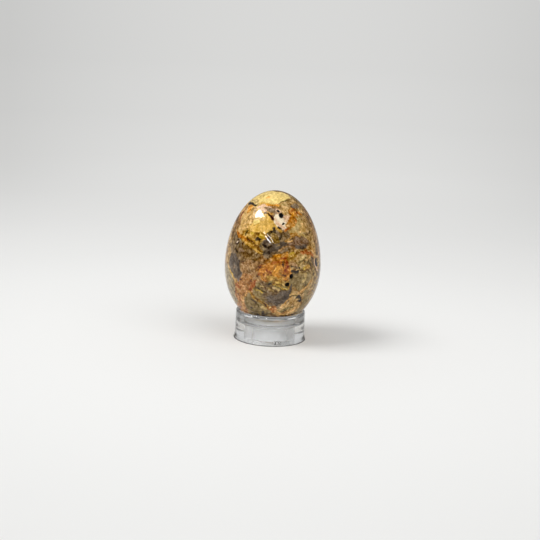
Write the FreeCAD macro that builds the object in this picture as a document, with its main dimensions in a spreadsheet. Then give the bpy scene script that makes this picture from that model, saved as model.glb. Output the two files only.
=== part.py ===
import FreeCAD, Part
import math
import os

import Sketcher

# A polished stone egg that stands, wide end down, in the conical seat of a clear moulded ring.
# Millimetres, +Z up. The origin is the centre of the ring's foot, on the surface it stands on.
# The front, which the natural pits are counted from, is -Y.

PARTS_FOLDER = "parts"

# Driving sizes. Lengths are in millimetres and angles in degrees.
SIZES = {
    # Egg: a half ellipsoid above its widest circle and a shorter, blunter one below it.
    "egg_width": 42.7,
    "egg_upper_length": 33.8,
    "egg_lower_length": 26.3,
    # Ring, outside: it narrows a little upwards, and its foot flares out.
    "ring_height": 13.0,
    "foot_diameter": 32.0,
    "waist_diameter": 31.2,
    "rim_diameter": 30.8,
    "foot_flare_height": 2.4,
    # Ring, inside: a plain bore, a recess with a shallow floor above it, and at the top the short
    # cone that the egg sits in.
    "bore_diameter": 15.0,
    "recess_diameter": 23.6,
    "recess_height": 6.9,
    "recess_fall": 0.65,
    "seat_slope": 45.0,
    "seat_depth": 1.85,
    "rim_land": 0.35,
    # Rounded edges of the ring.
    "rim_round": 0.8,
    "seat_round": 0.25,
    "seat_foot_round": 0.8,
    "recess_round": 3.0,
    "bore_round": 0.6,
    "foot_round": 0.2,
    # How far the egg stands off the cone, so that the two solids never overlap.
    "seat_gap": 0.05,
    # The stub that the moulding gate left low on the ring's wall.
    "gate_width": 2.8,
    "gate_height": 1.5,
    "gate_base_height": 0.6,
    "gate_proud": 0.15,
    "gate_root": 1.2,
    "gate_turn": 13.5,
}

# Natural pits of the stone. Turn is the angle from the front towards +X and rise the angle up the
# egg's ellipse, both in degrees. Across, along and deep are half sizes over the egg's width, and
# lean turns the pit about its own mouth, in degrees.
PIT_SHARES = {
    "pit_upper": {"turn": 11.0, "rise": 48.5, "across": 0.026, "along": 0.028, "deep": 0.036, "lean": 0.0},
    "pit_upper_slot": {"turn": 5.6, "rise": 52.8, "across": 0.021, "along": 0.010, "deep": 0.014, "lean": 20.0},
    "pit_lining": {"turn": 13.6, "rise": 40.5, "across": 0.015, "along": 0.010, "deep": 0.014, "lean": -40.0},
    "pit_lining_slot": {"turn": 6.5, "rise": 37.2, "across": 0.020, "along": 0.009, "deep": 0.010, "lean": 40.0},
    "pit_middle": {"turn": 22.9, "rise": 0.0, "across": 0.018, "along": 0.025, "deep": 0.034, "lean": 12.0},
    "pit_lower": {"turn": 18.3, "rise": -8.1, "across": 0.027, "along": 0.021, "deep": 0.034, "lean": -20.0},
}

doc = FreeCAD.newDocument("egg_on_stand")


def make_sheet():
    """The driving sizes, one aliased cell each."""
    sheet = doc.addObject("Spreadsheet::Sheet", "sizes")
    for row, (name, value) in enumerate(SIZES.items(), start=1):
        sheet.set(f"A{row}", name)
        sheet.set(f"B{row}", str(value))
        sheet.setAlias(f"B{row}", name)
    doc.recompute()
    return sheet


def bind(feature, expressions):
    """Ties each property of the feature to an expression in the sheet's names."""
    for name, expression in expressions.items():
        feature.setExpression(name, expression)


def origin_plane(body, role):
    return next(f for f in body.Origin.OriginFeatures if f.Role == role)


def section_sketch(body, name, corners):
    """A closed outline in the XZ plane. Each corner is a pair of expressions: radius and height."""
    sketch = body.newObject("Sketcher::SketchObject", name)
    sketch.AttachmentSupport = (origin_plane(body, "XZ_Plane"), "")
    sketch.MapMode = "FlatFace"
    starts = [FreeCAD.Vector(evaluate(body, r), evaluate(body, z), 0) for r, z in corners]
    for start, end in zip(starts, starts[1:] + starts[:1]):
        sketch.addGeometry(Part.LineSegment(start, end), False)
    for line in range(len(corners)):
        following = (line + 1) % len(corners)
        sketch.addConstraint(Sketcher.Constraint("Coincident", line, 2, following, 1))
    for line, (radius, height) in enumerate(corners):
        across = sketch.addConstraint(
            Sketcher.Constraint("DistanceX", -1, 1, line, 1, starts[line].x)
        )
        sketch.setExpression(f"Constraints[{across}]", radius)
        if height == "0 mm":
            sketch.addConstraint(Sketcher.Constraint("PointOnObject", line, 1, -1))
            continue
        up = sketch.addConstraint(
            Sketcher.Constraint("DistanceY", -1, 1, line, 1, starts[line].y)
        )
        sketch.setExpression(f"Constraints[{up}]", height)
    return sketch


def evaluate(owner, expression):
    """The expression's value now, in millimetres."""
    value = owner.evalExpression(expression)
    return getattr(value, "Value", value)


def circles_at(shape, radius, height):
    """Names of the shape's round edges of that radius, about the Z axis, at that height."""
    near = 1e-3
    names = []
    for number, edge in enumerate(shape.Edges, start=1):
        if not isinstance(edge.Curve, Part.Circle):
            continue
        centre = edge.Curve.Center
        if (
            abs(edge.Curve.Radius - radius) < near
            and abs(centre.z - height) < near
            and math.hypot(centre.x, centre.y) < near
        ):
            names.append(f"Edge{number}")
    if not names:
        raise ValueError(f"no round edge of radius {radius} at height {height}")
    return names


def round_edge(body, name, base, radius, height, size):
    """Rounds the edges of one circle. Radius, height and size are expressions."""
    fillet = body.newObject("PartDesign::Fillet", name)
    found = circles_at(base.Shape, evaluate(body, radius), evaluate(body, height))
    fillet.Base = (base, found)
    fillet.setExpression("Radius", size)
    body.Tip = fillet
    doc.recompute()
    return fillet


def make_ring():
    """The clear ring: a turned wall with a bore, a recess, a conical seat and a gate stub."""
    body = doc.addObject("PartDesign::Body", "ring_stand")
    body.Label = "ring_stand"
    bore = "sizes.bore_diameter / 2"
    foot = "sizes.foot_diameter / 2"
    waist = "sizes.waist_diameter / 2"
    rim = "sizes.rim_diameter / 2"
    seat_edge = f"({rim} - sizes.rim_round - sizes.rim_land)"
    seat_foot = f"({seat_edge} - sizes.seat_depth / tan(sizes.seat_slope * 1 deg))"
    seat_foot_height = "(sizes.ring_height - sizes.seat_depth)"
    recess = "sizes.recess_diameter / 2"
    bore_top = "(sizes.recess_height - sizes.recess_fall)"
    corners = [
        (f"{bore} * 1 mm", "0 mm"),
        (f"{foot} * 1 mm", "0 mm"),
        (f"{waist} * 1 mm", "sizes.foot_flare_height * 1 mm"),
        (f"{rim} * 1 mm", "sizes.ring_height * 1 mm"),
        (f"{seat_edge} * 1 mm", "sizes.ring_height * 1 mm"),
        (f"{seat_foot} * 1 mm", f"{seat_foot_height} * 1 mm"),
        (f"{recess} * 1 mm", "sizes.recess_height * 1 mm"),
        (f"{bore} * 1 mm", f"{bore_top} * 1 mm"),
    ]
    section = section_sketch(body, "ring_section", corners)
    wall = body.newObject("PartDesign::Revolution", "ring_wall")
    wall.Profile = section
    wall.ReferenceAxis = (section, ["V_Axis"])
    wall.Angle = 360.0
    body.Tip = wall
    doc.recompute()
    section.Visibility = False

    stub = body.newObject("PartDesign::AdditiveBox", "gate_stub")
    bind(
        stub,
        {
            "Length": "sizes.gate_width * 1 mm",
            "Width": "(sizes.gate_root + sizes.gate_proud) * 1 mm",
            "Height": "sizes.gate_height * 1 mm",
        },
    )
    reach = f"({foot} + sizes.gate_proud)"
    turn = "sizes.gate_turn * 1 deg"
    half = "sizes.gate_width / 2"
    stub_x = f"({reach} * sin({turn}) - {half} * cos({turn})) * 1 mm"
    stub_y = f"(-{reach} * cos({turn}) - {half} * sin({turn})) * 1 mm"
    stub.setExpression(
        "Placement",
        f"create(<<placement>>; vector({stub_x}; {stub_y}; sizes.gate_base_height * 1 mm);"
        f" create(<<rotation>>; {turn}; 0 deg; 0 deg))",
    )
    body.Tip = stub
    doc.recompute()

    rounded = round_edge(body, "rim_rounding", stub, rim, "sizes.ring_height", "sizes.rim_round * 1 mm")
    rounded = round_edge(
        body, "seat_edge_rounding", rounded, seat_edge, "sizes.ring_height", "sizes.seat_round * 1 mm"
    )
    rounded = round_edge(
        body, "seat_foot_rounding", rounded, seat_foot, seat_foot_height, "sizes.seat_foot_round * 1 mm"
    )
    rounded = round_edge(
        body, "recess_rounding", rounded, recess, "sizes.recess_height", "sizes.recess_round * 1 mm"
    )
    rounded = round_edge(body, "bore_top_rounding", rounded, bore, bore_top, "sizes.bore_round * 1 mm")
    rounded = round_edge(body, "bore_foot_rounding", rounded, bore, "0", "sizes.foot_round * 1 mm")
    round_edge(body, "foot_rounding", rounded, foot, "0", "sizes.foot_round * 1 mm")
    return body


def egg_sketch(body):
    """Half of the egg's outline: a quarter ellipse above the widest circle and one below it."""
    sketch = body.newObject("Sketcher::SketchObject", "egg_section")
    sketch.AttachmentSupport = (origin_plane(body, "XZ_Plane"), "")
    sketch.MapMode = "FlatFace"
    centre = FreeCAD.Vector()
    width = SIZES["egg_width"]
    top = FreeCAD.Vector(0, SIZES["egg_upper_length"], 0)
    bottom = FreeCAD.Vector(0, -SIZES["egg_lower_length"], 0)
    side = FreeCAD.Vector(width / 2, 0, 0)
    quarter = math.pi / 2
    lower = sketch.addGeometry(Part.ArcOfEllipse(Part.Ellipse(bottom, side, centre), 0, quarter), False)
    upper = sketch.addGeometry(
        Part.ArcOfEllipse(Part.Ellipse(top, -side, centre), 3 * quarter, 4 * quarter), False
    )
    axis = sketch.addGeometry(Part.LineSegment(top, bottom), False)
    sketch.addConstraint(
        [
            Sketcher.Constraint("Coincident", lower, 3, -1, 1),
            Sketcher.Constraint("Coincident", upper, 3, -1, 1),
            Sketcher.Constraint("Coincident", lower, 2, upper, 1),
            Sketcher.Constraint("Coincident", upper, 2, axis, 1),
            Sketcher.Constraint("Coincident", axis, 2, lower, 1),
            Sketcher.Constraint("PointOnObject", lower, 2, -1),
            Sketcher.Constraint("PointOnObject", upper, 2, -2),
            Sketcher.Constraint("PointOnObject", lower, 1, -2),
        ]
    )
    for arc in (lower, upper):
        long_axis = sketch.GeometryCount
        sketch.exposeInternalGeometry(arc)
        sketch.addConstraint(Sketcher.Constraint("Vertical", long_axis))
    for arc, end, along, value, expression in (
        (upper, 1, "DistanceX", side.x, "sizes.egg_width / 2 * 1 mm"),
        (upper, 2, "DistanceY", top.y, "sizes.egg_upper_length * 1 mm"),
        (lower, 1, "DistanceY", bottom.y, "-1 * sizes.egg_lower_length * 1 mm"),
    ):
        sizing = sketch.addConstraint(Sketcher.Constraint(along, -1, 1, arc, end, value))
        sketch.setExpression(f"Constraints[{sizing}]", expression)
    return sketch


def make_egg():
    """The stone egg, with its natural pits, set down on the ring's cone."""
    body = doc.addObject("PartDesign::Body", "agate_egg")
    body.Label = "agate_egg"
    section = egg_sketch(body)
    stone = body.newObject("PartDesign::Revolution", "egg_stone")
    stone.Profile = section
    stone.ReferenceAxis = (section, ["V_Axis"])
    stone.Angle = 360.0
    body.Tip = stone
    doc.recompute()
    section.Visibility = False
    for name, share in PIT_SHARES.items():
        cut_pit(body, name, share)
    # The lower ellipsoid touches the cone where its tangent has the cone's slope. Reach is how far
    # the ellipsoid goes from its centre, square to the cone.
    slope = "(sizes.seat_slope * 1 deg)"
    reach = (
        f"sqrt(pow(sizes.egg_width / 2 * sin{slope}; 2)"
        f" + pow(sizes.egg_lower_length * cos{slope}; 2))"
    )
    seat_edge = "(sizes.rim_diameter / 2 - sizes.rim_round - sizes.rim_land)"
    body.setExpression(
        "Placement.Base.z",
        f"(sizes.ring_height + ({reach} + sizes.seat_gap - {seat_edge} * sin{slope})"
        f" / cos{slope}) * 1 mm",
    )
    doc.recompute()
    return body


def cut_pit(body, name, share):
    """One pit: an ellipsoid whose centre lies on the egg's surface, with one axis square to it."""
    length_name = "egg_upper_length" if share["rise"] >= 0 else "egg_lower_length"
    turn = f"({share['turn']} deg)"
    rise = f"({share['rise']} deg)"
    level = f"(sizes.egg_width / 2 * cos{rise})"
    centre = (
        f"vector({level} * sin{turn} * 1 mm; -{level} * cos{turn} * 1 mm;"
        f" sizes.{length_name} * sin{rise} * 1 mm)"
    )
    # The surface's outward normal climbs by this angle.
    climb = f"atan2(sizes.egg_width / 2 * sin{rise}; sizes.{length_name} * cos{rise})"
    tilt = (
        f"create(<<rotation>>; {turn[1:-1]}; 0 deg; 0 deg)"
        f" * create(<<rotation>>; 0 deg; 0 deg; -1 * {climb})"
        f" * create(<<rotation>>; 0 deg; {share['lean']} deg; 0 deg)"
    )
    before = len(body.Shape.Faces)
    pit = body.newObject("PartDesign::SubtractiveEllipsoid", name)
    bind(
        pit,
        {
            "Radius2": f"sizes.egg_width * {share['across']} * 1 mm",
            "Radius3": f"sizes.egg_width * {share['deep']} * 1 mm",
            "Radius1": f"sizes.egg_width * {share['along']} * 1 mm",
            "Placement": f"create(<<placement>>; {centre}; {tilt})",
        },
    )
    body.Tip = pit
    doc.recompute()
    if not len(body.Shape.Faces) > before:
        raise ValueError(f"{name} cut nothing")


def check_and_write(bodies):
    """Stops on any failed object or bad shape, then writes one STEP file for each sub-part."""
    failed = [o.Name for o in doc.Objects if "Invalid" in o.State or "Error" in o.State]
    if failed:
        raise ValueError(f"failed objects: {failed}")
    loose = [o.Name for o in doc.Objects if hasattr(o, "FullyConstrained") and not o.FullyConstrained]
    if loose:
        raise ValueError(f"loose sketches: {loose}")
    os.makedirs(PARTS_FOLDER, exist_ok=True)
    for body in bodies:
        shape = body.Shape
        if shape.isNull() or not shape.isValid() or not shape.Solids:
            raise ValueError(f"{body.Label} has no valid solid")
        box = shape.optimalBoundingBox(False)
        print(
            f"{body.Label}: {len(shape.Solids)} solid, volume {shape.Volume:.1f} mm3,"
            f" x {box.XMin:.2f} to {box.XMax:.2f}, z {box.ZMin:.2f} to {box.ZMax:.2f}"
        )
        shape.exportStep(os.path.join(PARTS_FOLDER, f"{body.Label}.step"))


def main():
    make_sheet()
    ring = make_ring()
    egg = make_egg()
    doc.recompute()
    check_and_write([ring, egg])


main()
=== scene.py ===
import math

import bpy
import numpy as np
from mathutils import Matrix, Vector


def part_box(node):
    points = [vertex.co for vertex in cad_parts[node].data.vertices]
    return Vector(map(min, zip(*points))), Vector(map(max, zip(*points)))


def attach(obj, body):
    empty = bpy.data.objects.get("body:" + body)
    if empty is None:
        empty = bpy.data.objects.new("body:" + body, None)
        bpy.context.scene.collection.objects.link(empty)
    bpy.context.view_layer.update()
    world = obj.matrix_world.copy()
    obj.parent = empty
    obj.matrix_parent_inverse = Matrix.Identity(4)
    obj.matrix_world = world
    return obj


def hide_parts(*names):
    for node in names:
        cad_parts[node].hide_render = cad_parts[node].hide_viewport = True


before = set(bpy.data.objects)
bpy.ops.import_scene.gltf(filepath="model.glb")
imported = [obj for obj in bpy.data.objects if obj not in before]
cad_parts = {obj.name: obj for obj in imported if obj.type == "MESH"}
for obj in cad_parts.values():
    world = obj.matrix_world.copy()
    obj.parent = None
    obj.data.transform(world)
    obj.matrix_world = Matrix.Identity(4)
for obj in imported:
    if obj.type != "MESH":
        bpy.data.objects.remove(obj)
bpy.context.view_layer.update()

MM = 0.001

# ---------------------------------------------------------------- sizes, in millimetres
EGG_RADIUS = 21.35
EGG_UP = 33.8
EGG_DOWN = 26.3
EGG_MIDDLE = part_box("agate_egg")[0][2] / MM + EGG_DOWN
FULL_GRID, QUICK_GRID = 190, 120  # the egg's quads along each side of the cube that it is blown up from

RING_PROFILE = [  # radius, height, edge rounding
    (7.5, 0.0, 0.2),
    (16.0, 0.0, 0.6),
    (15.6, 2.4, 5.0),
    (15.4, 13.0, 0.8),
    (14.25, 13.0, 0.25),
    (12.4, 11.15, 0.8),
    (11.8, 6.9, 3.0),
    (7.5, 6.25, 0.6),
]

RING_SEAT_EDGE = RING_PROFILE[4][0]
RING_BORE, RING_BORE_TOP = RING_PROFILE[-1][:2]
RING_STEPS = 288  # quads round the ring

# The recess's wall is satin between these heights. Its floor and corner and the seat are polished.
SATIN_FROM, SATIN_TO = 8.6, 11.0
WALL_SATIN = 0.6
BORE_SATIN = 1.0
SATIN_MARGIN = 0.1  # how far the satin of the bore runs past its own faces

GATE_TURN = 13.5  # degrees from the front towards +X
GATE_REACH = 15.75
GATE_BASE = 0.6
GATE_SIZE = (2.8, 1.5, 0.3)  # width, height and how far it stands out
GATE_GRID = (8, 5)  # columns and rows of its torn face
GATE_BEVEL = 0.45  # how far its edges fall back into the wall
GATE_ROOT = 1.1  # how far it reaches into the wall

# ---------------------------------------------------------------- camera
FRAME_PX = 540.0
HALF_VIEW = math.radians(13.0)
TARGET = np.array([0.0, 0.0, 34.0])
DISTANCE = 519.9
ELEVATION = math.radians(11.835)
ROLL = math.radians(2.595)
CENTRE_PX = (272.73, 262.94)
FOCAL_PX = FRAME_PX / 2 / math.tan(HALF_VIEW)

FORWARD = np.array([0.0, math.cos(ELEVATION), -math.sin(ELEVATION)])
LEVEL = np.array([1.0, 0.0, 0.0])
UPWARD = np.cross(LEVEL, FORWARD)
CAM_RIGHT = LEVEL * math.cos(ROLL) + UPWARD * math.sin(ROLL)
CAM_UP = UPWARD * math.cos(ROLL) - LEVEL * math.sin(ROLL)
CAM_PLACE = TARGET - FORWARD * DISTANCE


def make_camera():
    """The photograph's camera."""
    data = bpy.data.cameras.new("photo_camera")
    data.sensor_fit = "HORIZONTAL"
    data.sensor_width = 36.0
    data.lens = data.sensor_width / 2 / math.tan(HALF_VIEW)
    data.shift_x = -(CENTRE_PX[0] - FRAME_PX / 2) / FRAME_PX
    data.shift_y = (CENTRE_PX[1] - FRAME_PX / 2) / FRAME_PX
    data.clip_start = 0.01
    data.clip_end = 100.0
    camera = bpy.data.objects.new("photo_camera", data)
    bpy.context.scene.collection.objects.link(camera)
    axes = Matrix([CAM_RIGHT, CAM_UP, -FORWARD]).transposed().to_4x4()
    axes.translation = Vector(CAM_PLACE * MM)
    camera.matrix_world = axes
    bpy.context.scene.camera = camera


def cast(x, y):
    """The point of the egg, in millimetres, that shows at this pixel of the photograph."""
    right, up = x - CENTRE_PX[0], CENTRE_PX[1] - y
    ray = FORWARD * FOCAL_PX + CAM_RIGHT * right + CAM_UP * up
    ray = ray / np.linalg.norm(ray)
    best = None
    for half, side in ((EGG_UP, 1.0), (EGG_DOWN, -1.0)):
        radii = np.array([EGG_RADIUS, EGG_RADIUS, half])
        start = (CAM_PLACE - [0.0, 0.0, EGG_MIDDLE]) / radii
        step = ray / radii
        a, b, c = step @ step, start @ step, start @ start - 1.0
        inside = max(b * b - a * c, 0.0)
        reach = (-b - math.sqrt(inside)) / a
        point = CAM_PLACE + ray * reach
        if (point[2] - EGG_MIDDLE) * side >= -0.01 and (best is None or reach < best[0]):
            best = (reach, point)
    return best[1]


# ---------------------------------------------------------------- mesh helpers
def new_mesh_object(name, points, faces):
    mesh = bpy.data.meshes.new(name)
    mesh.from_pydata([tuple(p) for p in points], [], faces)
    mesh.update()
    mesh.polygons.foreach_set("use_smooth", [True] * len(mesh.polygons))
    piece = bpy.data.objects.new(name, mesh)
    bpy.context.scene.collection.objects.link(piece)
    return piece


def rounded_outline(corners, arc_steps=10, straight_step=0.5):
    """A closed outline of (radius, height) points with every corner rounded to its own radius."""
    outline, ends = [], []
    count = len(corners)
    for i, (x, z, radius) in enumerate(corners):
        here = np.array([x, z])
        back = np.array(corners[i - 1][:2]) - here
        ahead = np.array(corners[(i + 1) % count][:2]) - here
        back, ahead = back / np.linalg.norm(back), ahead / np.linalg.norm(ahead)
        half = math.acos(np.clip(back @ ahead, -1.0, 1.0)) / 2
        reach = radius / math.tan(half)
        middle = (back + ahead) / np.linalg.norm(back + ahead)
        centre = here + middle * radius / math.sin(half)
        first, last = here + back * reach, here + ahead * reach
        a0 = math.atan2(*(first - centre)[::-1])
        a1 = math.atan2(*(last - centre)[::-1])
        turn = (a1 - a0 + math.pi) % (2 * math.pi) - math.pi
        angles = [a0 + turn * k / arc_steps for k in range(arc_steps + 1)]
        ends.append([centre + radius * np.array([math.cos(a), math.sin(a)]) for a in angles])
    for i, arc in enumerate(ends):
        outline.extend(arc)
        start, end = arc[-1], ends[(i + 1) % count][0]
        steps = max(1, int(np.linalg.norm(end - start) / straight_step))
        outline.extend(start + (end - start) * k / steps for k in range(1, steps))
    return outline


def satin_at(radius, height):
    """How satin the moulded ring is there: the bore most, and the recess's wall less."""
    foot_round, edge_round = RING_PROFILE[0][2], RING_PROFILE[4][2]
    if radius < RING_BORE + SATIN_MARGIN and foot_round < height < RING_BORE_TOP + SATIN_MARGIN:
        return BORE_SATIN
    if radius < RING_SEAT_EDGE - edge_round and SATIN_FROM < height < SATIN_TO:
        return WALL_SATIN
    return 0.0


def make_ring():
    """The clear ring: its outline turned about the upright axis."""
    outline = rounded_outline(RING_PROFILE)
    points, faces = [], []
    for k in range(RING_STEPS):
        turn = 2 * math.pi * k / RING_STEPS
        points += [(r * math.cos(turn) * MM, r * math.sin(turn) * MM, z * MM) for r, z in outline]
    size = len(outline)
    for k in range(RING_STEPS):
        here, after = k * size, (k + 1) % RING_STEPS * size
        for i in range(size):
            j = (i + 1) % size
            faces.append((here + i, after + i, after + j, here + j))
    ring = new_mesh_object("clear_ring", points, faces)
    satin = [satin_at(r, z) for r, z in outline] * RING_STEPS
    ring.data.attributes.new("satin", "FLOAT", "POINT").data.foreach_set("value", satin)
    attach(ring, "stand")
    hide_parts("ring_stand")
    ring.data.materials.append(clear_plastic())
    # Clear plastic lets the lamps and the room light through to the table, which shadow rays don't.
    ring.visible_shadow = False
    ring.visible_diffuse = False


def make_gate():
    """The stub where the moulding was broken off its runner: a small torn block low on the front."""
    turn = math.radians(GATE_TURN)
    out = np.array([math.sin(turn), -math.cos(turn), 0.0])
    side = np.array([math.cos(turn), math.sin(turn), 0.0])
    across, tall, deep = GATE_SIZE
    columns, rows = GATE_GRID
    points, faces = [], []
    for j in range(rows + 1):
        for i in range(columns + 1):
            u, v = 2 * i / columns - 1, 2 * j / rows - 1
            edge = max(abs(u), abs(v)) ** 6
            torn = 0.12 * math.sin(7.0 * u + 3.0 * v) + 0.08 * math.sin(11.0 * u * v + 1.0)
            reach = GATE_REACH + (deep + torn) * (1.0 - edge) - GATE_BEVEL * edge
            height = np.array([0.0, 0.0, GATE_BASE + tall * (v + 1) / 2])
            points.append(out * reach + side * u * across / 2 + height)
    inner = len(points)
    points += [point - out * GATE_ROOT for point in points]
    wide = columns + 1
    for j in range(rows):
        for i in range(columns):
            a, b, c, d = j * wide + i, j * wide + i + 1, (j + 1) * wide + i + 1, (j + 1) * wide + i
            faces += [(a, b, c, d), (inner + d, inner + c, inner + b, inner + a)]
    border = list(range(columns)) + [j * wide + columns for j in range(rows)]
    border += [rows * wide + columns - i for i in range(columns)] + [(rows - j) * wide for j in range(rows)]
    for a, b in zip(border, border[1:] + border[:1]):
        faces.append((b, a, inner + a, inner + b))
    gate = new_mesh_object("gate_stub", [point * MM for point in points], faces)
    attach(gate, "stand")
    gate.data.materials.append(torn_plastic())
    gate.visible_shadow = False


def egg_grid(n):
    """A cube's grid blown up to a unit sphere: points and quads, with shared edges merged."""
    index = {}
    points, faces = [], []
    ticks = np.tan(np.linspace(-math.pi / 4, math.pi / 4, n + 1))
    for axis in range(3):
        for side in (-1, 1):
            rows = []
            for i in range(n + 1):
                row = []
                for j in range(n + 1):
                    key = [0, 0, 0]
                    key[axis] = side * n
                    key[(axis + 1) % 3] = 2 * i - n
                    key[(axis + 2) % 3] = 2 * j - n
                    key = tuple(key)
                    if key not in index:
                        place = [0.0, 0.0, 0.0]
                        place[axis] = float(side)
                        place[(axis + 1) % 3] = ticks[i]
                        place[(axis + 2) % 3] = ticks[j]
                        index[key] = len(points)
                        points.append(place)
                    row.append(index[key])
                rows.append(row)
            for i in range(n):
                for j in range(n):
                    quad = (rows[i][j], rows[i + 1][j], rows[i + 1][j + 1], rows[i][j + 1])
                    faces.append(quad if side > 0 else quad[::-1])
    points = np.array(points)
    return points / np.linalg.norm(points, axis=1)[:, None], faces


# ---------------------------------------------------------------- the stone's pattern
# Colours of the stone: red, green and blue out of 255, and how much lace each carries.
STONE = {
    "cream": (248, 218, 142, 0.35),
    "gold_cream": (230, 184, 98, 0.45),
    "tan_cream": (224, 182, 120, 0.7),
    "ochre": (226, 158, 72, 1.0),
    "orange": (190, 122, 44, 1.0),
    "bright_orange": (208, 140, 48, 1.0),
    "rust": (154, 82, 24, 1.0),
    "red_brown": (164, 94, 46, 1.0),
    "salmon": (184, 126, 74, 1.0),
    "peach": (200, 152, 90, 1.0),
    "pink_white": (246, 228, 204, 0.12),
    "pink": (228, 188, 158, 0.4),
    "mauve": (148, 122, 100, 0.5),
    "violet_grey": (100, 87, 78, 0.35),
    "deep_violet": (80, 68, 58, 0.35),
    "violet_brown": (138, 108, 86, 0.8),
    "warm_grey": (126, 104, 80, 0.6),
    "brown": (118, 90, 56, 1.0),
    "dark_brown": (60, 34, 8, 0.3),
    "charcoal": (62, 50, 36, 0.6),
    "black_red": (46, 18, 12, 0.2),
    "olive": (148, 118, 64, 1.0),
    "olive_dark": (102, 82, 38, 1.0),
    "olive_grey": (141, 119, 78, 0.45),
    "olive_cream": (198, 168, 112, 0.75),
    "gold": (176, 132, 56, 1.0),
    "yellow": (212, 176, 80, 1.0),
    "dark_gold": (112, 74, 12, 1.0),
    "tan": (184, 146, 92, 1.0),
    "pink_tan": (160, 120, 78, 1.0),
    # limb_grey is partly painted reflection: along the left limb it stands in for the pale sheen the polish
    # shows there.
    "limb_grey": (154, 138, 112, 0.6),
}

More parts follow.
